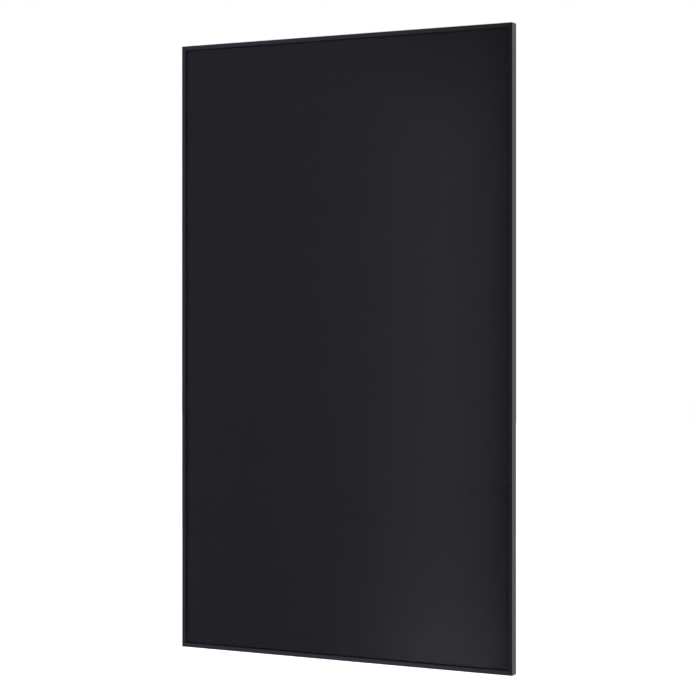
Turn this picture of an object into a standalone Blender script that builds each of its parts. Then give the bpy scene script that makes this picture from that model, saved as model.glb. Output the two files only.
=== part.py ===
"""Framed photovoltaic panel in portrait, as the sub-parts it is assembled from.

Metres. The front faces -Y, +X is the viewer's right, +Z is up, and the origin is the centre
of the whole box. Depths are measured from the frame's front face towards its back.
"""

import math

import bmesh
import bpy
from mathutils import Vector
from mathutils.geometry import tessellate_polygon

# Outside of the frame
WIDTH, HEIGHT, DEPTH = 1.038, 1.755, 0.030

# Shading and the steps of round outlines
SMOOTH_ANGLE = 35
HOLE_STEPS, PIN_STEPS, CABLE_STEPS, KNUCKLE_STEPS, BOSS_STEPS = 12, 12, 16, 20, 24

# How far a joined shape runs into its neighbour, and how far a cutter runs past what it cuts
OVERLAP, CUT_PAST = 0.0002, 0.002

# Frame extrusion
WALL = 0.0016
LIP, LIP_THICK, LIP_ROUND = 0.0120, 0.0015, 0.0005
EDGE_ROUND = 0.0008
SHELF_DEPTH, SHELF_THICK = 0.00748, 0.0015
CHAMBER, CHAMBER_DEPTH, WEB = 0.0120, 0.0205, 0.0014
FLANGE_LONG, FLANGE_SHORT, FLANGE_THICK = 0.030, 0.020, 0.0016
MITRE_GAP = 0.0001

# Laminate, front to back: each layer's near face and thickness
SKIN_GAP = 0.00003
EDGE_GAP = 0.0031
GLASS_DEPTH, GLASS_THICK = 0.00213, 0.0032
ENCAPSULANT_THICK = 0.00045
CELL_THICK = 0.0002
BACKSHEET_THICK = 0.00032
FRONT_FILM_DEPTH = GLASS_DEPTH + GLASS_THICK + SKIN_GAP
CELL_DEPTH = FRONT_FILM_DEPTH + ENCAPSULANT_THICK + SKIN_GAP
REAR_FILM_DEPTH = CELL_DEPTH + CELL_THICK + SKIN_GAP
BACKSHEET_DEPTH = REAR_FILM_DEPTH + ENCAPSULANT_THICK + SKIN_GAP
BACKSHEET_REAR = BACKSHEET_DEPTH + BACKSHEET_THICK

# Seal round the laminate's edge, inside the frame's channel
SEAL_IN, SEAL_OUT, SEAL_EDGE = 0.0095, 0.00165, 0.00305

# Half cells: six columns, ten rows above and ten below the middle gap
COLUMNS, ROWS = 6, 10
CELL_WIDTH, CELL_HEIGHT, CELL_CHAMFER = 0.166, 0.083, 0.0085
COLUMN_GAP, ROW_GAP, MIDDLE_GAP = 0.002, 0.0018, 0.024
COLUMN_PITCH = CELL_WIDTH + COLUMN_GAP
ROW_PITCH = CELL_HEIGHT + ROW_GAP
STRING_LENGTH = ROWS * CELL_HEIGHT + (ROWS - 1) * ROW_GAP
LEAD_X, LEAD_WIDTH = 0.055, 0.0016

# Bus ribbons that join the strings
LINK_WIDTH, LINK_GAP, BUS_WIDTH, BUS_GAP = 0.005, 0.003, 0.006, 0.010
BUS_END = 0.075

# Holes in the rear flanges
SLOT_LENGTH, SLOT_WIDTH, SLOT_INSET = 0.014, 0.009, 0.018
SLOT_HEIGHTS = (-0.575, -0.200, 0.200, 0.575)
EARTH_HOLE, EARTH_HEIGHTS = 0.004, (-0.400, 0.400)
DRAIN_LENGTH, DRAIN_WIDTH, DRAIN_X, DRAIN_INSET = 0.010, 0.004, 0.440, 0.010

# Corner keys inside the frame's chambers
KEY_CLEARANCE, KEY_ARM, KEY_TEETH, KEY_BITE = 0.0003, 0.055, 6, 0.0008

# Junction boxes
BOX_X = (-2 * COLUMN_PITCH, 0.0, 2 * COLUMN_PITCH)
BOX_NAMES = ("left", "middle", "right")
BOX_WIDTH, BOX_HEIGHT, BOX_DEPTH, BOX_ROUND = 0.084, 0.056, 0.0145, 0.004
BOX_WALL, BOX_FLOOR = 0.002, 0.002
PAD_THICK, PAD_MARGIN = 0.001, 0.002
FLOOR_SLOT = (0.044, 0.014)
SHEET_SLOT = (0.040, 0.012)
PAD_DEPTH = BACKSHEET_REAR + SKIN_GAP
BOX_NEAR = PAD_DEPTH + PAD_THICK + SKIN_GAP
BOX_RIM = BOX_NEAR + BOX_DEPTH
RIM_SEAL_THICK, RIM_SEAL_INSET, RIM_SEAL_WIDTH = 0.0008, 0.0003, 0.0014
LID_NEAR, LID_THICK = BOX_RIM + RIM_SEAL_THICK + 2 * SKIN_GAP, 0.002
HINGE_OUT, HINGE_RISE = 0.0032, 0.0002
HINGE_Z, HINGE_DEPTH = BOX_HEIGHT / 2 + HINGE_OUT, BOX_RIM + HINGE_RISE
PIN_RADIUS, KNUCKLE_BORE, KNUCKLE_RADIUS, EAR_RADIUS = 0.0013, 0.0016, 0.0029, 0.0019
KNUCKLE_X, KNUCKLE_WIDTH, EAR_WIDTH, EAR_GAP = 0.024, 0.012, 0.0016, 0.0004
LATCH_WIDTH, LATCH_REACH, LATCH_THICK, LATCH_GAP = 0.012, 0.0075, 0.0016, 0.0015
HINGE_WEB_IN, HINGE_WEB_OUT = 0.001, 0.0018
CATCH_RISE, CATCH_DROP, CATCH_THICK = 0.0012, 0.0050, 0.0015
TERMINAL_THICK, TERMINAL_WIDTH = 0.0008, 0.011
TERMINAL_START, TERMINAL_BEND, TERMINAL_END = 0.008, 0.014, 0.030
DIODE_SIZE, DIODE_TAB = (0.014, 0.0042, 0.010), (0.040, 0.0006, 0.005)

# Cable glands on the outer boxes
GLAND_Z, GLAND_RISE = -0.012, 0.0078
GLAND_DEPTH = BOX_NEAR + GLAND_RISE
BOSS_RADIUS, BOSS_BORE, BOSS_LENGTH = 0.0055, 0.0040, 0.009
GLAND_RADIUS, GLAND_BORE, GLAND_CABLE, GLAND_LENGTH = 0.0074, 0.0058, 0.0033, 0.014
GLAND_GAP, GLAND_FLUTES, GLAND_LAND = 0.0005, 12, 0.3

FINISHES = {
    "black_anodised": ((0.045, 0.046, 0.052), 0.42, 0.75),
    "mill_aluminium": ((0.62, 0.63, 0.65), 0.40, 1.00),
    "seal_silicone": ((0.015, 0.015, 0.016), 0.60, 0.0),
    "solar_glass": ((0.028, 0.029, 0.034), 0.30, 0.0),
    "clear_film": ((0.30, 0.31, 0.33), 0.35, 0.0),
    "silicon_cell": ((0.014, 0.015, 0.022), 0.35, 0.0),
    "tinned_copper": ((0.40, 0.38, 0.36), 0.35, 1.0),
    "black_backsheet": ((0.020, 0.020, 0.022), 0.55, 0.0),
    "box_plastic": ((0.024, 0.024, 0.026), 0.50, 0.0),
    "diode_resin": ((0.030, 0.030, 0.032), 0.40, 0.0),
    "pad_silicone": ((0.10, 0.10, 0.105), 0.65, 0.0),
}


def clear_scene():
    for item in list(bpy.data.objects):
        bpy.data.objects.remove(item, do_unlink=True)


def finish(name):
    """The Principled material of that name, made the first time it is asked for."""
    if name in bpy.data.materials:
        return bpy.data.materials[name]
    colour, roughness, metallic = FINISHES[name]
    material = bpy.data.materials.new(name)
    material.use_nodes = True
    shader = material.node_tree.nodes["Principled BSDF"]
    shader.inputs["Base Color"].default_value = (*colour, 1.0)
    shader.inputs["Roughness"].default_value = roughness
    shader.inputs["Metallic"].default_value = metallic
    material.diffuse_color = (*colour, 1.0)
    return material


def make_object(name, mesh, finish_name):
    item = bpy.data.objects.new(name, mesh)
    bpy.context.scene.collection.objects.link(item)
    if not mesh.materials:
        mesh.materials.append(finish(finish_name))
    return item


def shade_pieces():
    """Shades round stretches smooth and keeps the real edges sharp."""
    for item in bpy.data.objects:
        item.data.shade_smooth()
        item.data.set_sharp_from_angle(angle=math.radians(SMOOTH_ANGLE))


def swept_mesh(name, loops, place, closed=False, stations=(0, 1)):
    """A closed mesh from a flat outline with holes. place(a, b, station) puts an outline's point
    at each station. closed joins the last station to the first instead of capping both ends."""
    flat = [point for loop in loops for point in loop]
    mesh = bpy.data.meshes.new(name)
    form = bmesh.new()
    rows = [[form.verts.new(place(a, b, station)) for a, b in flat] for station in stations]
    pairs = list(zip(rows, rows[1:]))
    if closed:
        pairs.append((rows[-1], rows[0]))
    for near, far in pairs:
        start = 0
        for loop in loops:
            count = len(loop)
            for i in range(count):
                j = start + (i + 1) % count
                form.faces.new((near[start + i], near[j], far[j], far[start + i]))
            start += count
    if not closed:
        outlines = [[Vector((a, b, 0)) for a, b in loop] for loop in loops]
        for corners in tessellate_polygon(outlines):
            form.faces.new([rows[0][i] for i in corners])
            form.faces.new([rows[-1][i] for i in corners])
    bmesh.ops.recalc_face_normals(form, faces=form.faces)
    form.to_mesh(mesh)
    form.free()
    return mesh


def arc(centre_a, centre_b, radius, start, end, steps):
    """Points along an arc, in degrees from the first axis towards the second."""
    turns = [math.radians(start + (end - start) * i / steps) for i in range(steps + 1)]
    return [(centre_a + radius * math.cos(t), centre_b + radius * math.sin(t)) for t in turns]


def circle(centre_a, centre_b, radius, steps):
    return arc(centre_a, centre_b, radius, 0, 360, steps)[:-1]


def rounded(width, height, radius, centre=(0.0, 0.0), steps=4):
    a, b = width / 2 - radius, height / 2 - radius
    corners = ((a, b, 0), (-a, b, 90), (-a, -b, 180), (a, -b, 270))
    return [
        point
        for x, z, start in corners
        for point in arc(centre[0] + x, centre[1] + z, radius, start, start + 90, steps)
    ]


def rectangle(low_a, high_a, low_b, high_b):
    return [(low_a, low_b), (high_a, low_b), (high_a, high_b), (low_a, high_b)]


def slot(centre_a, centre_b, length, width, steps=6):
    """A slot's outline with round ends, its length along the second axis."""
    reach = (length - width) / 2
    upper = arc(centre_a, centre_b + reach, width / 2, 0, 180, steps)
    lower = arc(centre_a, centre_b - reach, width / 2, 180, 360, steps)
    return upper + lower


def along_depth(name, loops, near, thick):
    """Outlines in X and Z, thickened from a depth backwards."""
    return swept_mesh(name, loops, lambda x, z, s: (x, near + s * thick - DEPTH / 2, z))


def along_x(name, loops, low, high):
    """Outlines in Z and depth, stretched along X."""
    return swept_mesh(name, loops, lambda z, d, s: (low + s * (high - low), d - DEPTH / 2, z))


def combine(item, operation, meshes):
    """Joins meshes to an object or cuts them from it, and keeps the result as its mesh."""
    for mesh in meshes:
        tool = bpy.data.objects.new("tool", mesh)
        bpy.context.scene.collection.objects.link(tool)
        boolean = item.modifiers.new("boolean", "BOOLEAN")
        boolean.operation = operation
        boolean.solver = "EXACT"
        boolean.object = tool
        item.data = bpy.data.meshes.new_from_object(
            item.evaluated_get(bpy.context.evaluated_depsgraph_get())
        )
        item.modifiers.clear()
        bpy.data.objects.remove(tool)


# --- Frame -------------------------------------------------------------------------------


def rail_outlines(flange):
    """The extrusion's outline and its key chamber, as distances in from the outer face and depths."""
    outer = arc(EDGE_ROUND, EDGE_ROUND, EDGE_ROUND, 180, 270, 4)
    outer += arc(LIP - LIP_ROUND, LIP_ROUND, LIP_ROUND, 270, 360, 2)
    outer += [
        (LIP, LIP_THICK),
        (WALL, LIP_THICK),
        (WALL, SHELF_DEPTH),
        (CHAMBER, SHELF_DEPTH),
        (CHAMBER, CHAMBER_DEPTH),
        (WALL, CHAMBER_DEPTH),
        (WALL, DEPTH - FLANGE_THICK),
        (flange, DEPTH - FLANGE_THICK),
        (flange, DEPTH),
    ]
    outer += arc(EDGE_ROUND, DEPTH - EDGE_ROUND, EDGE_ROUND, 90, 180, 2)
    chamber = rectangle(WALL, CHAMBER - WEB, SHELF_DEPTH + SHELF_THICK, CHAMBER_DEPTH - WEB)
    return [outer, chamber]


def flange_hole(outline):
    return along_depth("hole", [outline], DEPTH - 3 * FLANGE_THICK, 5 * FLANGE_THICK)


def make_rail(name, flange, place, holes):
    """One mitred side of the frame with the holes in its rear flange."""
    mesh = swept_mesh(name, rail_outlines(flange), place, stations=(-1, 1))
    item = make_object(name, mesh, "black_anodised")
    combine(item, "DIFFERENCE", [flange_hole(outline) for outline in holes])
    item.data.name = name


def make_frame():
    for name, side in (("frame_left", -1), ("frame_right", 1)):
        x = side * (WIDTH / 2 - SLOT_INSET)
        holes = [slot(x, z, SLOT_LENGTH, SLOT_WIDTH) for z in SLOT_HEIGHTS]
        holes += [circle(x, z, EARTH_HOLE / 2, HOLE_STEPS) for z in EARTH_HEIGHTS]
        make_rail(
            name,
            FLANGE_LONG,
            lambda u, d, end, side=side: (
                side * (WIDTH / 2 - u),
                d - DEPTH / 2,
                end * (HEIGHT / 2 - u - MITRE_GAP),
            ),
            holes,
        )
    for name, side in (("frame_bottom", -1), ("frame_top", 1)):
        z = side * (HEIGHT / 2 - DRAIN_INSET)
        holes = [
            [(a, b) for b, a in slot(z, x, DRAIN_LENGTH, DRAIN_WIDTH, 4)]
            for x in (-DRAIN_X, 0.0, DRAIN_X)
        ]
        make_rail(
            name,
            FLANGE_SHORT,
            lambda u, d, end, side=side: (
                end * (WIDTH / 2 - u - MITRE_GAP),
                d - DEPTH / 2,
                side * (HEIGHT / 2 - u),
            ),
            holes,
        )


def key_outline():
    """An L whose arms lie in two chambers, with teeth on their inner sides. Both coordinates are
    distances in from the frame's outer faces."""
    low = WALL + KEY_CLEARANCE
    high = CHAMBER - WEB - KEY_CLEARANCE
    pitch = (KEY_ARM - 2 * high) / KEY_TEETH
    arm = [(low, low), (KEY_ARM, low), (KEY_ARM, high - KEY_BITE)]
    for i in range(KEY_TEETH):
        a = KEY_ARM - i * pitch
        arm += [(a - pitch * 0.5, high), (a - pitch, high - KEY_BITE)]
    return arm + [(high, high)] + [(b, a) for a, b in reversed(arm[1:])]


def make_corner_keys():
    near = SHELF_DEPTH + SHELF_THICK + KEY_CLEARANCE
    far = CHAMBER_DEPTH - WEB - KEY_CLEARANCE
    for across, side in (("left", -1), ("right", 1)):
        for up, end in (("bottom", -1), ("top", 1)):
            name = f"corner_key_{up}_{across}"
            outline = [
                (side * (WIDTH / 2 - a), end * (HEIGHT / 2 - b)) for a, b in key_outline()
            ]
            make_object(name, along_depth(name, [outline], near, far - near), "mill_aluminium")


# --- Laminate ----------------------------------------------------------------------------


def sheet_outline():
    a, b = WIDTH / 2 - EDGE_GAP, HEIGHT / 2 - EDGE_GAP
    return rectangle(-a, a, -b, b)


def sheet_slots():
    width, height = SHEET_SLOT
    return [rectangle(x - width / 2, x + width / 2, -height / 2, height / 2) for x in BOX_X]


def make_sheets():
    sheets = (
        ("front_glass", GLASS_DEPTH, GLASS_THICK, False, "solar_glass"),
        ("front_encapsulant", FRONT_FILM_DEPTH, ENCAPSULANT_THICK, False, "clear_film"),
        ("rear_encapsulant", REAR_FILM_DEPTH, ENCAPSULANT_THICK, True, "clear_film"),
        ("backsheet", BACKSHEET_DEPTH, BACKSHEET_THICK, True, "black_backsheet"),
    )
    for name, near, thick, slotted, finish_name in sheets:
        loops = [sheet_outline()] + (sheet_slots() if slotted else [])
        make_object(name, along_depth(name, loops, near, thick), finish_name)


def make_edge_seal():
    """A U of silicone that wraps the laminate's edge all the way round."""
    front = LIP_THICK + SKIN_GAP
    rear = SHELF_DEPTH - SKIN_GAP
    outline = [
        (SEAL_OUT, front),
        (SEAL_IN, front),
        (SEAL_IN, GLASS_DEPTH - SKIN_GAP),
        (SEAL_EDGE, GLASS_DEPTH - SKIN_GAP),
        (SEAL_EDGE, BACKSHEET_REAR + SKIN_GAP),
        (SEAL_IN, BACKSHEET_REAR + SKIN_GAP),
        (SEAL_IN, rear),
        (SEAL_OUT, rear),
    ]
    mesh = swept_mesh(
        "edge_seal",
        [outline],
        lambda u, d, corner: (
            corner[0] * (WIDTH / 2 - u),
            d - DEPTH / 2,
            corner[1] * (HEIGHT / 2 - u),
        ),
        closed=True,
        stations=((1, 1), (-1, 1), (-1, -1), (1, -1)),
    )
    make_object("edge_seal", mesh, "seal_silicone")


def string_outlines():
    """One column of half cells joined by two leads, with its own centre at the origin. Its lower
    end faces the middle gap."""
    half = CELL_WIDTH / 2
    inner, outer = LEAD_X - LEAD_WIDTH / 2, LEAD_X + LEAD_WIDTH / 2
    bottom = -STRING_LENGTH / 2
    tail = bottom - (MIDDLE_GAP - BUS_WIDTH) / 2 + SKIN_GAP
    head = STRING_LENGTH / 2 + LINK_GAP - SKIN_GAP
    right = [(inner, bottom), (inner, tail), (outer, tail), (outer, bottom)]
    holes = []
    for row in range(ROWS):
        low = bottom + row * ROW_PITCH
        high = low + CELL_HEIGHT
        if row % 2:
            right += [(half, low), (half, high - CELL_CHAMFER), (half - CELL_CHAMFER, high)]
        else:
            right += [(half - CELL_CHAMFER, low), (half, low + CELL_CHAMFER), (half, high)]
        if row < ROWS - 1:
            right += [(outer, high), (outer, high + ROW_GAP)]
            holes.append(rectangle(-inner, inner, high, high + ROW_GAP))
    top = STRING_LENGTH / 2
    right += [(outer, top), (outer, head), (inner, head), (inner, top)]
    return [right + [(-x, z) for x, z in reversed(right)]] + holes


def column_x(column):
    return (column - (COLUMNS - 1) / 2) * COLUMN_PITCH


def make_strings():
    mesh = along_depth("cell_string", string_outlines(), CELL_DEPTH, CELL_THICK)
    height = (MIDDLE_GAP + STRING_LENGTH) / 2
    for end, label in ((1, "upper"), (-1, "lower")):
        for column in range(COLUMNS):
            item = make_object(f"cell_string_{label}_{column + 1}", mesh, "silicon_cell")
            item.location = (column_x(column), 0, end * height)
            item.rotation_euler = (0, 0 if end > 0 else math.pi, 0)


def make_ribbon(name, low_x, high_x, centre_z, width):
    outline = rectangle(low_x, high_x, centre_z - width / 2, centre_z + width / 2)
    make_object(name, along_depth(name, [outline], CELL_DEPTH, CELL_THICK), "tinned_copper")


def make_bus_ribbons():
    link_z = MIDDLE_GAP / 2 + STRING_LENGTH + LINK_GAP + LINK_WIDTH / 2
    for end, label in ((1, "top"), (-1, "bottom")):
        for pair in range(COLUMNS // 2):
            low = column_x(2 * pair) - BUS_END
            high = column_x(2 * pair + 1) + BUS_END
            make_ribbon(f"{label}_link_{pair + 1}", low, high, end * link_z, LINK_WIDTH)
    end_x = column_x(COLUMNS - 1) + BUS_END
    edges = [-end_x, *BOX_X, end_x]
    for i, (low, high) in enumerate(zip(edges, edges[1:])):
        low += BUS_GAP / 2 if i else 0
        high -= BUS_GAP / 2 if i < len(BOX_X) else 0
        make_ribbon(f"middle_bus_{i + 1}", low, high, 0.0, BUS_WIDTH)


# --- Junction boxes ----------------------------------------------------------------------


def centred(width, height, x):
    return rectangle(x - width / 2, x + width / 2, -height / 2, height / 2)


def hinge_ears(x):
    """The four ears that hold the two hinge pins."""
    wall_z = (BOX_HEIGHT - BOX_WALL) / 2
    under_rim = BOX_RIM - OVERLAP
    ear = arc(HINGE_Z, HINGE_DEPTH, EAR_RADIUS, 90, -90, 8)
    ear += [
        (wall_z, HINGE_DEPTH - 2 * EAR_RADIUS),
        (wall_z, under_rim),
        (HINGE_Z - EAR_RADIUS, under_rim),
    ]
    reach = KNUCKLE_WIDTH / 2 + EAR_GAP
    for knuckle in (-KNUCKLE_X, KNUCKLE_X):
        for side in (-1, 1):
            edges = sorted((x + knuckle + side * reach, x + knuckle + side * (reach + EAR_WIDTH)))
            yield along_x("ear", [ear], *edges)


def hinge_pins(x):
    reach = KNUCKLE_WIDTH / 2 + EAR_GAP + EAR_WIDTH / 2
    for knuckle in (-KNUCKLE_X, KNUCKLE_X):
        outline = circle(HINGE_Z, HINGE_DEPTH, PIN_RADIUS, PIN_STEPS)
        yield along_x("pin", [outline], x + knuckle - reach, x + knuckle + reach)


def make_box_base(label, x, gland_side):
    name = f"box_base_{label}"
    shell = rounded(BOX_WIDTH, BOX_HEIGHT, BOX_ROUND, (x, 0))
    inside = rounded(
        BOX_WIDTH - 2 * BOX_WALL, BOX_HEIGHT - 2 * BOX_WALL, BOX_ROUND - BOX_WALL, (x, 0)
    )
    base = make_object(name, along_depth(name, [shell], BOX_NEAR, BOX_DEPTH), "box_plastic")
    wall_x = x + gland_side * BOX_WIDTH / 2
    catch = rectangle(
        x - LATCH_WIDTH / 2,
        x + LATCH_WIDTH / 2,
        -BOX_HEIGHT / 2 - CATCH_RISE,
        -BOX_HEIGHT / 2 + CATCH_RISE / 2,
    )
    added = [along_depth("catch", [catch], BOX_RIM - CATCH_DROP, CATCH_THICK)]
    added += [*hinge_ears(x), *hinge_pins(x)]
    cut = [
        along_depth("inside", [inside], BOX_NEAR + BOX_FLOOR, BOX_DEPTH),
        along_depth("slot", [centred(*FLOOR_SLOT, x)], BOX_NEAR - BOX_FLOOR, 3 * BOX_FLOOR),
    ]
    if gland_side:
        ends = sorted((wall_x - gland_side * BOX_WALL / 2, wall_x + gland_side * BOSS_LENGTH))
        boss = circle(GLAND_Z, GLAND_DEPTH, BOSS_RADIUS, BOSS_STEPS)
        added.append(along_x("boss", [boss], *ends))
        ends = sorted((wall_x - gland_side * 2 * BOX_WALL, wall_x + gland_side * 2 * BOSS_LENGTH))
        bore = circle(GLAND_Z, GLAND_DEPTH, BOSS_BORE, BOSS_STEPS)
        cut.append(along_x("bore", [bore], *ends))
    combine(base, "UNION", added)
    combine(base, "DIFFERENCE", cut)
    base.data.name = name


def make_box_lid(label, x):
    """The lid turns on the hinge pins, so its origin is on their axis."""
    name = f"box_lid_{label}"
    plate = rounded(BOX_WIDTH, BOX_HEIGHT, BOX_ROUND, (x, 0))
    lid = make_object(name, along_depth(name, [plate], LID_NEAR, LID_THICK), "box_plastic")
    foot = -BOX_HEIGHT / 2 - LATCH_GAP
    left, right = x - LATCH_WIDTH / 2, x + LATCH_WIDTH / 2
    bridge = rectangle(left, right, foot - LATCH_THICK / 2, foot + 2 * LATCH_THICK)
    tongue = rectangle(left, right, foot - LATCH_THICK, foot)
    added = [
        along_depth("bridge", [bridge], LID_NEAR + OVERLAP, LID_THICK - 2 * OVERLAP),
        along_depth("tongue", [tongue], LID_NEAR + LID_THICK - LATCH_REACH, LATCH_REACH),
    ]
    for knuckle in (x - KNUCKLE_X, x + KNUCKLE_X):
        low, high = knuckle - KNUCKLE_WIDTH / 2, knuckle + KNUCKLE_WIDTH / 2
        rings = [
            circle(HINGE_Z, HINGE_DEPTH, KNUCKLE_RADIUS, KNUCKLE_STEPS),
            circle(HINGE_Z, HINGE_DEPTH, KNUCKLE_BORE, KNUCKLE_STEPS),
        ]
        inner, outer = BOX_HEIGHT / 2 - HINGE_WEB_IN, HINGE_Z - HINGE_WEB_OUT
        web = rectangle(low + OVERLAP, high - OVERLAP, inner, outer)
        added.append(along_x("knuckle", rings, low, high))
        added.append(along_depth("web", [web], LID_NEAR + OVERLAP / 2, LID_THICK - 1.5 * OVERLAP))
    combine(lid, "UNION", added)
    lid.data.name = name
    pivot = Vector((x, HINGE_DEPTH - DEPTH / 2, HINGE_Z))
    for vertex in lid.data.vertices:
        vertex.co -= pivot
    lid.location = pivot


def make_box_seals(label, x):
    pad = rounded(BOX_WIDTH + 2 * PAD_MARGIN, BOX_HEIGHT + 2 * PAD_MARGIN, BOX_ROUND, (x, 0))
    mesh = along_depth("pad", [pad, centred(*FLOOR_SLOT, x)], PAD_DEPTH, PAD_THICK)
    make_object(f"box_adhesive_{label}", mesh, "pad_silicone")
    outer, inner = 2 * RIM_SEAL_INSET, 2 * (RIM_SEAL_INSET + RIM_SEAL_WIDTH)
    rings = [
        rounded(BOX_WIDTH - outer, BOX_HEIGHT - outer, BOX_ROUND - outer / 2, (x, 0)),
        rounded(BOX_WIDTH - inner, BOX_HEIGHT - inner, BOX_ROUND - inner / 2, (x, 0)),
    ]
    mesh = along_depth("seal", rings, BOX_RIM + SKIN_GAP, RIM_SEAL_THICK)
    make_object(f"lid_seal_{label}", mesh, "seal_silicone")


def make_box_inside(label, x):
    """Two terminals, from the bus ribbons through the sheets' slots to the box's floor, and the
    bypass diode across them."""
    foot = CELL_DEPTH + CELL_THICK + SKIN_GAP
    plate = BOX_NEAR + BOX_FLOOR + SKIN_GAP
    start, bend = TERMINAL_START, TERMINAL_BEND
    thick = TERMINAL_THICK
    outline = [
        (start, foot),
        (bend, foot),
        (bend, plate),
        (TERMINAL_END, plate),
        (TERMINAL_END, plate + thick),
        (bend - thick, plate + thick),
        (bend - thick, foot + thick / 2),
        (start, foot + thick / 2),
    ]
    for side, side_name in ((-1, "a"), (1, "b")):
        name = f"terminal_{label}_{side_name}"
        mesh = swept_mesh(
            name,
            [outline],
            lambda a, d, s, side=side: (x + side * a, d - DEPTH / 2, s * TERMINAL_WIDTH / 2),
            stations=(-1, 1),
        )
        make_object(name, mesh, "tinned_copper")
    top = plate + thick + SKIN_GAP
    name = f"bypass_diode_{label}"
    body_width, body_depth, body_height = DIODE_SIZE
    tab_width, tab_depth, tab_height = DIODE_TAB
    body = along_depth(name, [centred(body_width, body_height, x)], top, body_depth)
    diode = make_object(name, body, "diode_resin")
    tabs = along_depth("tabs", [centred(tab_width, tab_height, x)], top, tab_depth)
    combine(diode, "UNION", [tabs])
    diode.data.name = name


def make_gland(label, x, side):
    """The nut on the outer box's boss: wide bore over the boss, then the cable's own bore."""
    name = f"cable_gland_{label}"
    wall_x = x + side * BOX_WIDTH / 2
    start = wall_x + side * GLAND_GAP
    shoulder = wall_x + side * (BOSS_LENGTH + GLAND_GAP)
    end = start + side * GLAND_LENGTH
    pitch = 360 / GLAND_FLUTES
    land = pitch * GLAND_LAND
    outline = [
        point
        for i in range(GLAND_FLUTES)
        for point in arc(GLAND_Z, GLAND_DEPTH, GLAND_RADIUS, i * pitch - land, i * pitch + land, 2)
    ]
    gland = make_object(name, along_x(name, [outline], *sorted((start, end))), "box_plastic")
    past = side * CUT_PAST
    wide = circle(GLAND_Z, GLAND_DEPTH, GLAND_BORE, BOSS_STEPS)
    cable = circle(GLAND_Z, GLAND_DEPTH, GLAND_CABLE, CABLE_STEPS)
    combine(
        gland,
        "DIFFERENCE",
        [
            along_x("wide", [wide], *sorted((start - past, shoulder))),
            along_x("cable", [cable], *sorted((shoulder - past, end + past))),
        ],
    )
    gland.data.name = name


def make_junction_boxes():
    for label, x in zip(BOX_NAMES, BOX_X):
        gland_side = (x > 0) - (x < 0)
        make_box_base(label, x, gland_side)
        make_box_lid(label, x)
        make_box_seals(label, x)
        make_box_inside(label, x)
        if gland_side:
            make_gland(label, x, gland_side)


clear_scene()
make_frame()
make_corner_keys()
make_sheets()
make_edge_seal()
make_strings()
make_bus_ribbons()
make_junction_boxes()
shade_pieces()
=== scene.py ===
"""Looks of the framed photovoltaic panel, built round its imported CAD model. Metres, +Z up, and
the glass faces -Y."""

import math

import bmesh
import bpy
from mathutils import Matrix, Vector


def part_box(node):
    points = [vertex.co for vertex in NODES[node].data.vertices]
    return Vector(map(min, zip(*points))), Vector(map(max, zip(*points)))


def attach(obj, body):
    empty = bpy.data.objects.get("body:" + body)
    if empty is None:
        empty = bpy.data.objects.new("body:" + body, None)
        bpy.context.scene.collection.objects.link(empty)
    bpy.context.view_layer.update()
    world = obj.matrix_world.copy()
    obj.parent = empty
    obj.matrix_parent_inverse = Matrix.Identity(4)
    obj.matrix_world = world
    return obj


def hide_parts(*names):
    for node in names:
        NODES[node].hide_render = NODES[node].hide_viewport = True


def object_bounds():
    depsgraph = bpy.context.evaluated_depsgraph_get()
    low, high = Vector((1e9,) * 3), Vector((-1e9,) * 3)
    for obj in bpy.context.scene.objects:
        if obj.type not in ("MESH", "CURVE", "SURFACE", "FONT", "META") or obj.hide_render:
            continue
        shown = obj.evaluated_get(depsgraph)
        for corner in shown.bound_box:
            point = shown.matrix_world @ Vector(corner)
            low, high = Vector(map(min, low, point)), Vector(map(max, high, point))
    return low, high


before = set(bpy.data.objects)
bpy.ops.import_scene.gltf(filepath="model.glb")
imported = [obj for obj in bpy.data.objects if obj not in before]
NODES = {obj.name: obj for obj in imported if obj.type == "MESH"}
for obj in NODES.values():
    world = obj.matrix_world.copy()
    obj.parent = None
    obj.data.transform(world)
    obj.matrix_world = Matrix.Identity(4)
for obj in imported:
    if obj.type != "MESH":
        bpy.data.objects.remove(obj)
CAD_LOW, CAD_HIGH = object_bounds()
MM = 0.001

# Driving places, read from the frame
GLASS_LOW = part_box("front_glass")[0]
STRING_LOW, STRING_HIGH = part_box("cell_string_upper_1")
COLUMN_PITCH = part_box("cell_string_upper_2")[0].x - STRING_LOW.x
CELL_WIDTH = STRING_HIGH.x - STRING_LOW.x
COLUMNS = 6
BOX_LABELS = ("left", "middle", "right")


# --- Node materials ----------------------------------------------------------------------

# Places of the Mix node's sockets when it mixes colours
MIX_FACTOR, MIX_A, MIX_B, MIX_RESULT = 0, 6, 7, 2
# Whole pitches added before a remainder is taken, so that it is taken of a positive place
PHASE_PITCHES = 1000


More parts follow.
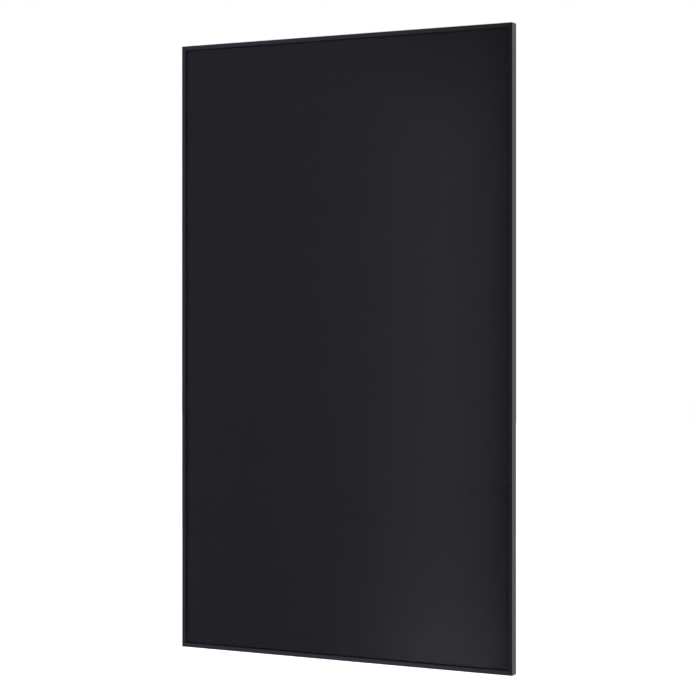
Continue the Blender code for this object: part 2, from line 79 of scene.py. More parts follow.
class Finish:
    """A Principled material with short calls for the nodes that feed it."""

    def __init__(self, name, colour, roughness, metallic=0.0, **constants):
        self.material = bpy.data.materials.new(name)
        self.material.use_nodes = True
        self.tree = self.material.node_tree
        self.shader = self.tree.nodes["Principled BSDF"]
        self.colour = colour
        self.set("Base Color", (*colour, 1.0))
        self.set("Roughness", roughness)
        self.set("Metallic", metallic)
        for socket, value in constants.items():
            self.set(socket.replace("_", " "), value)
        self.place = self.node("ShaderNodeTexCoord").outputs["Object"]

    def set(self, socket, value):
        self.shader.inputs[socket].default_value = value

    def node(self, kind, settings=None, **inputs):
        made = self.tree.nodes.new(kind)
        for key, value in (settings or {}).items():
            setattr(made, key, value)
        for key, value in inputs.items():
            self.feed(made.inputs[key.replace("_", " ")], value)
        return made

    def feed(self, socket, value):
        if isinstance(value, bpy.types.NodeSocket):
            self.tree.links.new(value, socket)
        else:
            socket.default_value = value

    def drive(self, socket, value):
        self.tree.links.new(value, self.shader.inputs[socket])

    def math(self, operation, a, b=0.0):
        made = self.node("ShaderNodeMath", {"operation": operation})
        self.feed(made.inputs[0], a)
        self.feed(made.inputs[1], b)
        return made.outputs[0]

    def scaled(self, x, y, z):
        made = self.node("ShaderNodeMapping", Vector=self.place)
        made.inputs["Scale"].default_value = (x, y, z)
        return made.outputs["Vector"]

    def noise(self, scale, detail=2.0, stretch=(1, 1, 1)):
        """Noise of about 1/scale metres, stretched along each axis."""
        vector = self.scaled(*(scale / s for s in stretch))
        return self.node("ShaderNodeTexNoise", Vector=vector, Scale=1.0, Detail=detail).outputs["Fac"]

    def ranged(self, value, low, high, from_low=0.3, from_high=0.7):
        made = self.node("ShaderNodeMapRange", Value=value)
        made.inputs["From Min"].default_value = from_low
        made.inputs["From Max"].default_value = from_high
        made.inputs["To Min"].default_value = low
        made.inputs["To Max"].default_value = high
        return made.outputs["Result"]

    def tint(self, factor):
        """Multiplies the base colour by a value."""
        made = self.node("ShaderNodeMix", {"data_type": "RGBA", "blend_type": "MULTIPLY"})
        made.inputs[MIX_FACTOR].default_value = 1.0
        made.inputs[MIX_A].default_value = (*self.colour, 1.0)
        self.tree.links.new(factor, made.inputs[MIX_B])
        self.drive("Base Color", made.outputs[MIX_RESULT])

    def bump(self, height, distance, strength=1.0):
        made = self.node("ShaderNodeBump", Height=height, Distance=distance, Strength=strength)
        self.drive("Normal", made.outputs["Normal"])


def axis_lines(f, axis, pitch, width, offset=0.0):
    """1 on lines of a width that repeat at a pitch along an axis, else 0."""
    split = f.node("ShaderNodeSeparateXYZ", Vector=f.place)
    moved = f.math("ADD", split.outputs[axis], -offset + PHASE_PITCHES * pitch)
    phase = f.math("MODULO", moved, pitch)
    return f.math("LESS_THAN", phase, width)


def anodised(name, along, painted_light_level=1.0):
    """Black anodised extrusion: fine die lines along its length and a faint bead-blasted grain.
    Its colour is scaled by a level set for each rail. This is painted light and shade, so that each
    rail's lip has the tone it takes in this studio's light."""
    # Painted light and shade: the anodised colour is scaled by this rail's level, so the rails are lit
    # and shaded copies of one material
    f = Finish(name, [painted_light_level * part for part in (0.0315, 0.0325, 0.0375)], 0.20, 1.0)
    stretch = [1, 1, 1]
    stretch["XYZ".index(along)] = 60
    lines = f.noise(2600, 3, stretch)
    grain = f.noise(5200, 2)
    patches = f.noise(9, 3)
    gloss = f.math("ADD", lines, f.math("MULTIPLY", patches, 0.5))
    f.drive("Roughness", f.ranged(gloss, 0.17, 0.23, 0.5, 1.0))
    tone = f.math("ADD", patches, f.math("MULTIPLY", lines, 0.4))
    f.tint(f.ranged(tone, 0.92, 1.08, 0.45, 0.95))
    height = f.math("ADD", f.math("MULTIPLY", lines, 0.6), f.math("MULTIPLY", grain, 0.4))
    f.bump(height, 0.00003, 0.6)
    return f.material


def solar_glass():
    """Textured, anti-reflective solar glass, partly clear: what lies under it shows faintly."""
    f = Finish("solar_glass", (0.0024, 0.0024, 0.0030), 0.09, IOR=1.395, Alpha=0.30)
    grain = f.noise(1400, 2)
    clouds = f.noise(1.6, 2)
    f.drive("Roughness", f.ranged(clouds, 0.08, 0.10))
    f.tint(f.ranged(clouds, 0.90, 1.10))
    f.bump(grain, 0.00001, 0.4)
    return f.material


def clear_film():
    f = Finish("clear_film", (0.010, 0.010, 0.012), 0.40, Alpha=0.06)
    f.drive("Roughness", f.ranged(f.noise(60, 2), 0.34, 0.46))
    return f.material


def silicon_cell():
    """Near-black silicon: fine printed fingers across it, and a tone that drifts slowly."""
    f = Finish("silicon_cell", (0.0030, 0.0033, 0.0046), 0.42, IOR=1.20)
    fingers = axis_lines(f, "Z", 0.0013, 0.00008)
    crystal = f.noise(9, 1)
    tone = f.ranged(crystal, 0.85, 1.15)
    f.tint(f.math("ADD", tone, f.math("MULTIPLY", fingers, 0.9)))
    f.bump(f.noise(5200, 1), 0.00001, 0.4)
    return f.material


def ribbon(name, colour, roughness):
    f = Finish(name, colour, roughness, 1.0)
    f.drive("Roughness", f.ranged(f.noise(600, 2), roughness - 0.06, roughness + 0.08))
    f.tint(f.ranged(f.noise(240, 2), 0.85, 1.12))
    return f.material


def backsheet_film():
    """Black embossed film, in which the gaps between the columns of cells show faintly."""
    f = Finish("backsheet_film", (0.0100, 0.0100, 0.0112), 0.50, IOR=1.36)
    emboss = f.noise(1800, 2)
    waves = f.noise(14, 3)
    columns = axis_lines(f, "X", COLUMN_PITCH, COLUMN_PITCH - CELL_WIDTH, STRING_HIGH.x)
    f.drive("Roughness", f.ranged(f.math("ADD", emboss, waves), 0.46, 0.58, 0.7, 1.3))
    f.tint(f.ranged(waves, 0.92, 1.10))
    height = f.math("ADD", f.math("MULTIPLY", emboss, 0.5), f.math("MULTIPLY", columns, -1.2))
    f.bump(height, 0.00006, 0.7)
    return f.material


def moulded_plastic(name, colour=(0.0150, 0.0150, 0.0160), roughness=0.52, **constants):
    f = Finish(name, colour, roughness, **constants)
    grain = f.noise(3600, 2)
    f.drive("Roughness", f.ranged(f.noise(900, 2), roughness - 0.05, roughness + 0.08))
    f.tint(f.ranged(f.noise(60, 3), 0.90, 1.12))
    f.bump(grain, 0.00005, 0.6)
    return f.material


def silicone(name, colour=(0.0040, 0.0040, 0.0043), roughness=0.62, ior=1.15):
    f = Finish(name, colour, roughness, IOR=ior)
    f.drive("Roughness", f.ranged(f.noise(400, 2), roughness - 0.08, roughness + 0.08))
    f.tint(f.ranged(f.noise(120, 2), 0.88, 1.12))
    f.bump(f.noise(300, 3), 0.0001, 0.4)
    return f.material


def mill_aluminium():
    f = Finish("mill_aluminium", (0.62, 0.63, 0.65), 0.38, 1.0)
    f.drive("Roughness", f.ranged(f.noise(2200, 2, (1, 30, 1)), 0.32, 0.46))
    f.tint(f.ranged(f.noise(80, 3), 0.92, 1.06))
    return f.material


MATERIALS = {
    # The rails share one anodised colour. Each is darkened by its own level of painted shade, so they
    # are shaded copies of one material
    "frame_left": anodised("anodised_left_painted_shade", "Z", 0.78),
    "frame_right": anodised("anodised_right_painted_shade", "Z", 0.60),
    "frame_short": anodised("anodised_crossways_painted_shade", "X", 0.88),
    "glass": solar_glass(),
    "film": clear_film(),
    "cell": silicon_cell(),
    "bus": ribbon("bus_ribbon", (0.014, 0.0138, 0.0136), 0.35),
    "wire": ribbon("cell_wire", (0.060, 0.060, 0.062), 0.40),
    "tinned": ribbon("tinned_copper", (0.52, 0.49, 0.45), 0.30),
    "backsheet": backsheet_film(),
    "strip": moulded_plastic("black_tape", (0.0034, 0.0036, 0.0048), 0.42, IOR=1.20),
    "box": moulded_plastic("box_plastic"),
    "diode": moulded_plastic("diode_resin", (0.020, 0.020, 0.022), 0.35),
    "silicone": silicone("seal_silicone"),
    "pad": silicone("pad_silicone", (0.014, 0.014, 0.015), 0.45, 1.40),
    "key": mill_aluminium(),
    "screw": ribbon("screw_steel", (0.55, 0.54, 0.52), 0.28),
}

# First words of a CAD node's name, and the material it takes
NODE_FINISHES = (
    ("frame_left", "frame_left"),
    ("frame_right", "frame_right"),
    ("frame_", "frame_short"),
    ("corner_key", "key"),
    ("front_glass", "glass"),
    ("front_encapsulant", "film"),
    ("rear_encapsulant", "film"),
    ("backsheet", "backsheet"),
    ("cell_string", "cell"),
    ("top_link", "bus"),
    ("bottom_link", "bus"),
    ("middle_bus", "bus"),
    ("terminal", "tinned"),
    ("bypass_diode", "diode"),
    ("box_adhesive", "pad"),
    ("lid_seal", "silicone"),
    ("edge_seal", "silicone"),
    ("box_", "box"),
    ("cable_gland", "box"),
)


def finish_cad_nodes():
    for name, item in NODES.items():
        finish = next(use for start, use in NODE_FINISHES if name.startswith(start))
        item.data.materials.clear()
        item.data.materials.append(MATERIALS[finish])


# --- Pieces added to the CAD model --------------------------------------------------------


def add_piece(name, mesh, finish, body):
    item = bpy.data.objects.new(name, mesh)
    bpy.context.scene.collection.objects.link(item)
    mesh.materials.clear()
    mesh.materials.append(MATERIALS[finish])
    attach(item, body)
    return item


def mesh_from(form, name, face_out=True):
    if face_out:
        bmesh.ops.recalc_face_normals(form, faces=form.faces)
    mesh = bpy.data.meshes.new(name)
    form.to_mesh(mesh)
    form.free()
    return mesh


def bridge_rows(form, rows, closed=True):
    """Joins each row, a loop of points, to the next one, and the last to the first if closed."""
    for near, far in zip(rows, rows[1:] + rows[:1] if closed else rows[1:]):
        for i in range(len(near)):
            j = (i + 1) % len(near)
            form.faces.new((near[i], near[j], far[j], far[i]))


def ring_mesh(name, outline, low, high):
    """Sweeps an outline of (distance in from the edge, y) round the rectangle from low to high."""
    form = bmesh.new()
    middle = (low + high) / 2
    half = (high - low) / 2
    rows = [
        [
            form.verts.new((middle.x + a * (half.x - u), y, middle.z + b * (half.z - u)))
            for u, y in outline
        ]
        for a, b in ((1, 1), (-1, 1), (-1, -1), (1, -1))
    ]
    bridge_rows(form, rows)
    return mesh_from(form, name)


# The sealant's fillet that shows between the frame's lip and the glass. FILLET_TOP is its height
# as a share of the lip's thickness
LIP_WIDTH, LIP_THICK = 12.0 * MM, 1.5 * MM
FILLET_REACH, FILLET_STEPS, FILLET_UNDER = 3.2 * MM, 6, 1.4 * MM
FILLET_GAP, FILLET_TOP = 0.02 * MM, 0.55


def make_sealant_bead():
    lip_front = CAD_LOW.y
    under = lip_front + LIP_THICK + FILLET_GAP
    top = lip_front + LIP_THICK * FILLET_TOP
    glass = GLASS_LOW.y
    outline = [(LIP_WIDTH - FILLET_UNDER, under), (LIP_WIDTH, under), (LIP_WIDTH, top)]
    for i in range(1, FILLET_STEPS + 1):
        t = math.radians(90 * i / FILLET_STEPS)
        along = LIP_WIDTH + FILLET_REACH * (1 - math.cos(t))
        outline.append((along, glass - (glass - top) * (1 - math.sin(t))))
    outline.append((LIP_WIDTH - FILLET_UNDER, glass))
    mesh = ring_mesh("sealant_bead", outline, CAD_LOW, CAD_HIGH)
    add_piece("sealant_bead", mesh, "silicone", "panel")


# Fine collector wires along the face of each column of cells
WIRE_COUNT, WIRE_WIDTH, WIRE_THICK = 9, 0.30 * MM, 0.022 * MM


def make_cell_wires():
    for label in ("upper", "lower"):
        for column in range(1, COLUMNS + 1):
            low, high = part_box(f"cell_string_{label}_{column}")
            pitch = CELL_WIDTH / WIRE_COUNT
            form = bmesh.new()
            for i in range(WIRE_COUNT):
                x = low.x + pitch * (i + 0.5)
                made = bmesh.ops.create_cube(form, size=1.0)["verts"]
                size = Vector((WIRE_WIDTH, WIRE_THICK, high.z - low.z))
                bmesh.ops.scale(form, vec=size, verts=made)
                place = Vector((x, low.y - WIRE_THICK / 2, (low.z + high.z) / 2))
                bmesh.ops.translate(form, vec=place, verts=made)
            mesh = mesh_from(form, "cell_wires", face_out=False)
            add_piece(f"cell_wires_{label}_{column}", mesh, "wire", "panel")


# Black strips that hide the ribbons across the middle and along both ends of the cells
STRIP_THICK, STRIP_GAP, STRIP_STEPS, STRIP_WAVE = 0.018 * MM, 0.002 * MM, 48, 0.25 * MM
MIDDLE_STRIP, END_STRIP_FROM, END_STRIP_TO = 11.6 * MM, 858.6 * MM, 868 * MM
STRIP_SPANS = {
    "middle": (-MIDDLE_STRIP, MIDDLE_STRIP),
    "top": (END_STRIP_FROM, END_STRIP_TO),
    "bottom": (-END_STRIP_TO, -END_STRIP_FROM),
}


def make_cover_strips():
    """Thin tape laid by hand, so its long edges wander a little."""
    end = -STRING_LOW.x
    for label, (low_z, high_z) in STRIP_SPANS.items():
        form = bmesh.new()
        rows = []
        for i in range(STRIP_STEPS + 1):
            x = -end + 2 * end * i / STRIP_STEPS
            lower = low_z + STRIP_WAVE * math.sin(9 * x + 1)
            upper = high_z + STRIP_WAVE * math.sin(7 * x)
            near = STRING_LOW.y - STRIP_THICK - STRIP_GAP
            far = STRING_LOW.y - STRIP_GAP
            corners = ((lower, near), (upper, near), (upper, far), (lower, far))
            rows.append([form.verts.new((x, y, z)) for z, y in corners])
        bridge_rows(form, rows, closed=False)
        form.faces.new(rows[0])
        form.faces.new(rows[-1])
        mesh = mesh_from(form, "cover_strip")
        add_piece(f"cover_strip_{label}", mesh, "strip", "panel")


# --- Junction boxes in detail ---------------------------------------------------------------

# The most that edges are softened by. Where a piece has short edges, the Bevel clamps the width of
# all its edges to what they leave room for, so the boxes and rails come out crisper than this
EDGE_SOFT, CONTACT_SOFT, DIODE_SOFT, FRAME_SOFT = 0.35 * MM, 0.12 * MM, 0.25 * MM, 0.40 * MM
EDGE_SEGMENTS, EDGE_SHARP, BY_LARGE_FACES = 2, math.radians(32), 100
# Points closer than this are one point, and faces flatter to each other than this are one face
JOIN_WITHIN, FLAT_WITHIN = 0.001 * MM, math.radians(0.5)
# Angles over which turned or cut pieces are shaded sharp
TURNED_SHARP, CUT_SHARP = math.radians(38), math.radians(40)


def cad_copy(name, node):
    """A CAD node's mesh for a piece that stands for it, with its split corners joined again."""
    form = bmesh.new()
    form.from_mesh(NODES[node].data)
    bmesh.ops.remove_doubles(form, verts=form.verts, dist=JOIN_WITHIN)
    bmesh.ops.dissolve_limit(form, angle_limit=FLAT_WITHIN, verts=form.verts, edges=form.edges)
    return mesh_from(form, name, face_out=False)


def block_mesh(low, high):
    form = bmesh.new()
    made = bmesh.ops.create_cube(form, size=1.0)["verts"]
    bmesh.ops.scale(form, vec=high - low, verts=made)
    bmesh.ops.translate(form, vec=(low + high) / 2, verts=made)
    return mesh_from(form, "block", face_out=False)


def rounded_outline(half_x, half_z, radius, steps=6):
    corners = ((1, 1, 0), (-1, 1, 90), (-1, -1, 180), (1, -1, 270))
    return [
        (
            a * (half_x - radius) + radius * math.cos(math.radians(start + 90 * i / steps)),
            b * (half_z - radius) + radius * math.sin(math.radians(start + 90 * i / steps)),
        )
        for a, b, start in corners
        for i in range(steps + 1)
    ]


def plate_mesh(centre, outline, near, far):
    """A flat outline in X and Z, solid from y near to y far."""
    form = bmesh.new()
    rows = [
        [form.verts.new((centre.x + x, y, centre.z + z)) for x, z in outline] for y in (near, far)
    ]
    bridge_rows(form, rows, closed=False)
    form.faces.new(rows[0])
    form.faces.new(rows[1])
    return mesh_from(form, "plate")


def applied(item):
    """Keeps what an object's modifiers make as its own mesh."""
    graph = bpy.context.evaluated_depsgraph_get()
    item.data = bpy.data.meshes.new_from_object(item.evaluated_get(graph))
    item.modifiers.clear()


def combined(item, operation, meshes):
    for mesh in meshes:
        tool = bpy.data.objects.new("tool", mesh)
        bpy.context.scene.collection.objects.link(tool)
        boolean = item.modifiers.new("boolean", "BOOLEAN")
        boolean.operation = operation
        boolean.object = tool
        applied(item)
        bpy.data.objects.remove(tool)


def softened(item, width):
    """Softens the sharp edges, and shades so that large faces stay flat."""
    item.data.shade_smooth()
    bevel = item.modifiers.new("bevel", "BEVEL")
    bevel.width = width
    bevel.segments = EDGE_SEGMENTS
    bevel.limit_method = "ANGLE"
    bevel.angle_limit = EDGE_SHARP
    weighted = item.modifiers.new("weighted", "WEIGHTED_NORMAL")
    weighted.weight = BY_LARGE_FACES
    weighted.keep_sharp = True
    applied(item)


def detailed(name, node, finish, body, added=(), cut=(), width=EDGE_SOFT):
    """A finer piece that stands for a CAD node: its own shape with details and soft edges."""
    item = bpy.data.objects.new(name, cad_copy(name, node))
    bpy.context.scene.collection.objects.link(item)
    combined(item, "UNION", added)
    combined(item, "DIFFERENCE", cut)
    softened(item, width)
    item.data.materials.clear()
    item.data.materials.append(MATERIALS[finish])
    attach(item, body)
    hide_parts(node)
    return item


# Box bases: the flange at the foot, the hollow through it, and ribs on the lower wall, none of
# them behind the latch
PAD_MARGIN = 2 * MM
FOOT_MARGIN, FOOT_THICK, FOOT_ROUND = 1.6 * MM, 1.3 * MM, 5 * MM
HOLLOW_X, HOLLOW_Z, HOLLOW_ROUND, HOLLOW_DEPTH = 22 * MM, 7 * MM, 1 * MM, 3 * MM
RIB_WIDTH, RIB_RISE, RIB_PITCH, RIB_DROP = 1.4 * MM, 0.5 * MM, 8.0 * MM, 1.5 * MM
LATCH_ROOM = 9 * MM
# Box lids: the outer face's height over the seal, its recess, and the grooves in that.
# GROOVE_SHARE is their length as a share of the recess's
LID_RISE, LID_ROUND, RECESS_MARGIN, RECESS_DEPTH = 2.03 * MM, 4.0 * MM, 9.0 * MM, 0.6 * MM
GROOVE_WIDTH, GROOVE_PITCH, GROOVES, GROOVE_SHARE = 1.0 * MM, 3.2 * MM, 5, 0.7
# How far a cutter goes past the face that it cuts
CUT_PAST = 1 * MM


def box_centre(label):
    low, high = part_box(f"box_adhesive_{label}")
    return (low + high) / 2


def make_box_base(label):
    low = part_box(f"box_base_{label}")[0]
    pad_low, pad_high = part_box(f"box_adhesive_{label}")
    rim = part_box(f"lid_seal_{label}")[0].y
    centre = box_centre(label)
    half_x = (pad_high.x - pad_low.x) / 2 - PAD_MARGIN
    half_z = (pad_high.z - pad_low.z) / 2 - PAD_MARGIN
    outline = rounded_outline(half_x + FOOT_MARGIN, half_z + FOOT_MARGIN, FOOT_ROUND)
    foot = plate_mesh(centre, outline, low.y, low.y + FOOT_THICK)
    outline = rounded_outline(HOLLOW_X, HOLLOW_Z, HOLLOW_ROUND)
    hollow = plate_mesh(centre, outline, low.y - CUT_PAST, low.y + HOLLOW_DEPTH)
    top = rim - RIB_DROP
    ribs = []
    count = int(half_x // RIB_PITCH)
    for i in range(-count, count + 1):
        x = centre.x + i * RIB_PITCH
        if abs(i * RIB_PITCH) > LATCH_ROOM:
            ribs.append(
                block_mesh(
                    Vector((x - RIB_WIDTH / 2, low.y + FOOT_THICK / 2, centre.z - half_z - RIB_RISE)),
                    Vector((x + RIB_WIDTH / 2, top, centre.z - half_z + RIB_RISE)),
                )
            )
    detailed(
        f"junction_box_{label}",
        f"box_base_{label}",
        "box",
        "panel",
        added=[foot, *ribs],
        cut=[hollow],
    )


def make_box_lid(label):
    centre = box_centre(label)
    seal_low, seal_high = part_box(f"lid_seal_{label}")
    half_x = (seal_high.x - seal_low.x) / 2 - RECESS_MARGIN
    half_z = (seal_high.z - seal_low.z) / 2 - RECESS_MARGIN
    face = seal_high.y + LID_RISE
    outline = rounded_outline(half_x, half_z, LID_ROUND)
    recess = plate_mesh(centre, outline, face - RECESS_DEPTH, face + CUT_PAST)
    reach = half_x * GROOVE_SHARE
    grooves = [
        block_mesh(
            Vector((centre.x - reach, face - 2 * RECESS_DEPTH, z - GROOVE_WIDTH / 2)),
            Vector((centre.x + reach, face, z + GROOVE_WIDTH / 2)),
        )
        for z in (centre.z + GROOVE_PITCH * (i - (GROOVES - 1) / 2) for i in range(GROOVES))
    ]
    detailed(
        f"hinged_lid_{label}",
        f"box_lid_{label}",
        "box",
        f"lid_{label}",
        cut=[recess, *grooves],
    )


# Terminal screws. The profile is in shares of the head's radius and height
SCREW_RADIUS, SCREW_HEIGHT, SCREW_OUT, SCREW_STEPS = 2.6 * MM, 1.5 * MM, 24 * MM, 32
SCREW_PROFILE = ((0.45, 0.99), (0.75, 0.88), (0.93, 0.62), (1.0, 0.30), (1.0, 0.0))
# The cross recess: its width, and shares of the head for its reach, its depth and its top
CROSS_WIDTH, CROSS_REACH, CROSS_DEPTH, CROSS_TOP = 0.7 * MM, 0.62, 0.75, 1.2


def screw_mesh(centre):
    """A pan head, its back on a plate at the centre's y. Its cross recess is cut after it is made."""
    form = bmesh.new()
    rows = []
    for r, h in SCREW_PROFILE:
        rows.append(
            [
                form.verts.new(
                    (
                        centre.x + r * SCREW_RADIUS * math.cos(2 * math.pi * i / SCREW_STEPS),
                        centre.y + h * SCREW_HEIGHT,
                        centre.z + r * SCREW_RADIUS * math.sin(2 * math.pi * i / SCREW_STEPS),
                    )
                )
                for i in range(SCREW_STEPS)
            ]
        )
    bridge_rows(form, rows, closed=False)
    form.faces.new(rows[0])
    form.faces.new(rows[-1])
    return mesh_from(form, "screw")


def make_box_inside(label):
    centre = box_centre(label)
    for side in "ab":
        node = f"terminal_{label}_{side}"
        low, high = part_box(node)
        detailed(
            f"contact_{label}_{side}", node, "tinned", "panel", width=CONTACT_SOFT
        )
        out = SCREW_OUT if (low.x + high.x) / 2 > centre.x else -SCREW_OUT
        place = Vector((centre.x + out, high.y, 0.0))
        item = bpy.data.objects.new(f"terminal_screw_{label}_{side}", screw_mesh(place))
        bpy.context.scene.collection.objects.link(item)
        arm = Vector((SCREW_RADIUS * CROSS_REACH, SCREW_HEIGHT * CROSS_DEPTH, CROSS_WIDTH / 2))
        crown = place + Vector((0, SCREW_HEIGHT * CROSS_TOP, 0))
        across = block_mesh(crown - arm, crown + arm)
        turned = Vector((arm.z, arm.y, arm.x))
        upright = block_mesh(crown - turned, crown + turned)
        combined(item, "DIFFERENCE", [across, upright])
        item.data.shade_smooth()
        item.data.set_sharp_from_angle(angle=CUT_SHARP)
        item.data.materials.clear()
        item.data.materials.append(MATERIALS["screw"])
        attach(item, "panel")
    detailed(
        f"diode_{label}", f"bypass_diode_{label}", "diode", "panel", width=DIODE_SOFT
    )


# The adhesive that squeezes out round each box
BEAD_WIDE, BEAD_HIGH, BEAD_SIDES, BEAD_SPACING = 2.6 * MM, 1.6 * MM, 8, 2 * MM
BEAD_ROUND, BEAD_CORNER_STEPS = 6 * MM, 10
# It swells in slow and fast waves: how much, and how many go round the box. SWELL_RISE is how much
# of a swell goes into its height
SLOW_SWELL, SLOW_WAVES, FAST_SWELL, FAST_WAVES, SWELL_RISE = 0.22, 5, 0.14, 13, 0.15


def make_adhesive(label, seed):
    """A low irregular bead round the box's foot."""
    low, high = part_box(f"box_adhesive_{label}")
    centre = (low + high) / 2
    half_x, half_z = (high.x - low.x) / 2, (high.z - low.z) / 2
    outline = rounded_outline(half_x, half_z, BEAD_ROUND, BEAD_CORNER_STEPS)
    path = []
    count = len(outline)
    for i in range(count):
        a, b = outline[i], outline[(i + 1) % count]
        length = math.hypot(b[0] - a[0], b[1] - a[1])
        steps = max(1, round(length / BEAD_SPACING))
        for k in range(steps):
            path.append((a[0] + (b[0] - a[0]) * k / steps, a[1] + (b[1] - a[1]) * k / steps))
    form = bmesh.new()
    rows = []
    for i, (x, z) in enumerate(path):
        turn = 2 * math.pi * i / len(path)
        swell = 1 + SLOW_SWELL * math.sin(SLOW_WAVES * turn + seed)
        swell += FAST_SWELL * math.sin(FAST_WAVES * turn + 2 * seed)
        after, before = path[(i + 1) % len(path)], path[i - 1]
        along = Vector((after[0] - before[0], after[1] - before[1])).normalized()
        outward = Vector((along.y, -along.x))
        row = []
        for k in range(BEAD_SIDES + 1):
            t = math.pi * k / BEAD_SIDES
            reach = BEAD_WIDE / 2 * swell * math.cos(t)
            rise = BEAD_HIGH * (1 - SWELL_RISE + SWELL_RISE * swell) * math.sin(t)
            row.append(
                form.verts.new(
                    (centre.x + x + outward.x * reach, low.y + rise, centre.z + z + outward.y * reach)
                )
            )
        rows.append(row)
    bridge_rows(form, rows)
    mesh = mesh_from(form, "adhesive_bead")
    mesh.shade_smooth()
    add_piece(f"adhesive_bead_{label}", mesh, "pad", "panel")


# Cable glands: a fluted nut with a rubber bung in its mouth
NUT_STEPS, NUT_FLUTES, NUT_FLUTE_DEPTH = 96, 12, 0.45 * MM
NUT_CHAMFER, NUT_MOUTH, NUT_SOCKET = 0.6 * MM, 3.9 * MM, 5.8 * MM
BUNG_HOLE, BUNG_LIP, BUNG_RADIUS = 3.3 * MM, 3.5 * MM, 3.85 * MM


def turned_mesh(name, centre, side, profile, fluted=()):
    """Turns a closed profile of (distance along X, radius) round the gland's axis. The profile's
    points whose places are in fluted follow the flutes."""
    form = bmesh.new()
    rows = []
    for i in range(NUT_STEPS):
        turn = 2 * math.pi * i / NUT_STEPS
        wave = NUT_FLUTE_DEPTH * (0.5 - 0.5 * math.cos(NUT_FLUTES * turn)) ** 2
        row = []
        for k, (x, radius) in enumerate(profile):
            r = radius - (wave if k in fluted else 0.0)
            row.append(
                form.verts.new(
                    (centre.x + side * x, centre.y + r * math.cos(turn), centre.z + r * math.sin(turn))
                )
            )
        rows.append(row)
    bridge_rows(form, rows)
    mesh = mesh_from(form, name)
    mesh.shade_smooth()
    mesh.set_sharp_from_angle(angle=TURNED_SHARP)
    return mesh


def make_gland(label):
    node = f"cable_gland_{label}"
    low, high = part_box(node)
    side = 1 if label == "right" else -1
    length = high.x - low.x
    radius = (high.z - low.z) / 2
    start = Vector((low.x if side > 0 else high.x, (low.y + high.y) / 2, (low.z + high.z) / 2))
    nut = [
        (0.0, radius * 0.93),
        (NUT_CHAMFER, radius),
        (length * 0.62, radius),
        (length * 0.70, radius * 0.95),
        (length * 0.86, radius * 0.80),
        (length * 0.96, radius * 0.72),
        (length, radius * 0.64),
        (length, NUT_MOUTH),
        (length * 0.60, NUT_MOUTH),
        (length * 0.60, NUT_SOCKET),
        (0.0, NUT_SOCKET),
    ]
    item = add_piece(
        f"gland_nut_{label}",
        turned_mesh("gland_nut", start, side, nut, fluted=(1, 2, 3)),
        "box",
        "panel",
    )
    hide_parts(node)
    bung = [
        (length * 0.55, BUNG_HOLE),
        (length * 0.98, BUNG_HOLE),
        (length, BUNG_LIP),
        (length, BUNG_RADIUS),
        (length * 0.55, BUNG_RADIUS),
    ]
    add_piece(
        f"gland_bung_{label}",
        turned_mesh("gland_bung", start, side, bung),
        "silicone",
        "panel",
    )


# The backsheet, sunk a little wherever there is no cell or ribbon under it
ROWS, ROW_PITCH, CELL_HEIGHT = 10, 84.8 * MM, 83.0 * MM
MIDDLE_GAP, BUS_HALF = 24 * MM, 3 * MM
SUNK, RAMP_UP, RAMP_DOWN = 0.14 * MM, 1.0 * MM, 0.85 * MM
# Holes in it for the terminals' feet: from and to, out from the box's middle, and the room round
FOOT_NEAR, FOOT_FAR, FOOT_ROOM = 7.2 * MM, 14.8 * MM, 0.6 * MM


def raised_spans(columns):
    """Lowest and highest place of each thing that lies under the sheet, along X or along Z."""
    if columns:
        return [
            (STRING_LOW.x + i * COLUMN_PITCH, STRING_LOW.x + i * COLUMN_PITCH + CELL_WIDTH)
            for i in range(COLUMNS)
        ]
    rows = [
        (MIDDLE_GAP / 2 + i * ROW_PITCH, MIDDLE_GAP / 2 + i * ROW_PITCH + CELL_HEIGHT)
        for i in range(ROWS)
    ]
    links = [(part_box("top_link_1")[0].z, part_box("top_link_1")[1].z)]
    upper = rows + links
    return [(-b, -a) for a, b in reversed(upper)] + [(-BUS_HALF, BUS_HALF)] + upper


def relief_steps(low, high, spans):
    """Places along one axis, each with its height: 1 on a raised span and 0 between spans."""
    steps = [(low, 0.0)]
    for a, b in spans:
        ramp = min(RAMP_UP, (a - steps[-1][0]) / 2)
        steps += [(a - ramp, 0.0), (a, 1.0), (b, 1.0), (b + RAMP_DOWN, 0.0)]
    steps.append((high, 0.0))
    return steps


def make_backsheet():
    low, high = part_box("backsheet")
    across = relief_steps(low.x, high.x, raised_spans(True))
    up = relief_steps(low.z, high.z, raised_spans(False))
    form = bmesh.new()
    layers = []
    for rear in (True, False):
        grid = []
        for x, a in across:
            column = []
            for z, b in up:
                y = high.y - SUNK * (1 - min(a, b)) if rear else low.y
                column.append(form.verts.new((x, y, z)))
            grid.append(column)
        layers.append(grid)
        for near, far in zip(grid, grid[1:]):
            for i in range(len(up) - 1):
                form.faces.new((near[i], near[i + 1], far[i + 1], far[i]))
    rims = []
    for grid in layers:
        rims.append(
            [column[0] for column in grid]
            + grid[-1][1:]
            + [column[-1] for column in reversed(grid[:-1])]
            + grid[0][-2:0:-1]
        )
    bridge_rows(form, rims, closed=False)
    mesh = mesh_from(form, "backsheet_relief")
    item = add_piece("backsheet_relief", mesh, "backsheet", "panel")
    feet = []
    for label in BOX_LABELS:
        for side in "ab":
            a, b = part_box(f"terminal_{label}_{side}")
            centre = box_centre(label)
            near, far = FOOT_NEAR, FOOT_FAR
            if (a.x + b.x) / 2 < centre.x:
                near, far = -FOOT_FAR, -FOOT_NEAR
            feet.append(
                block_mesh(
                    Vector((centre.x + near, low.y - MM, a.z - FOOT_ROOM)),
                    Vector((centre.x + far, high.y + MM, b.z + FOOT_ROOM)),
                )
            )
    combined(item, "DIFFERENCE", feet)
    item.data.shade_smooth()
    item.data.set_sharp_from_angle(angle=CUT_SHARP)
    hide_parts("backsheet")


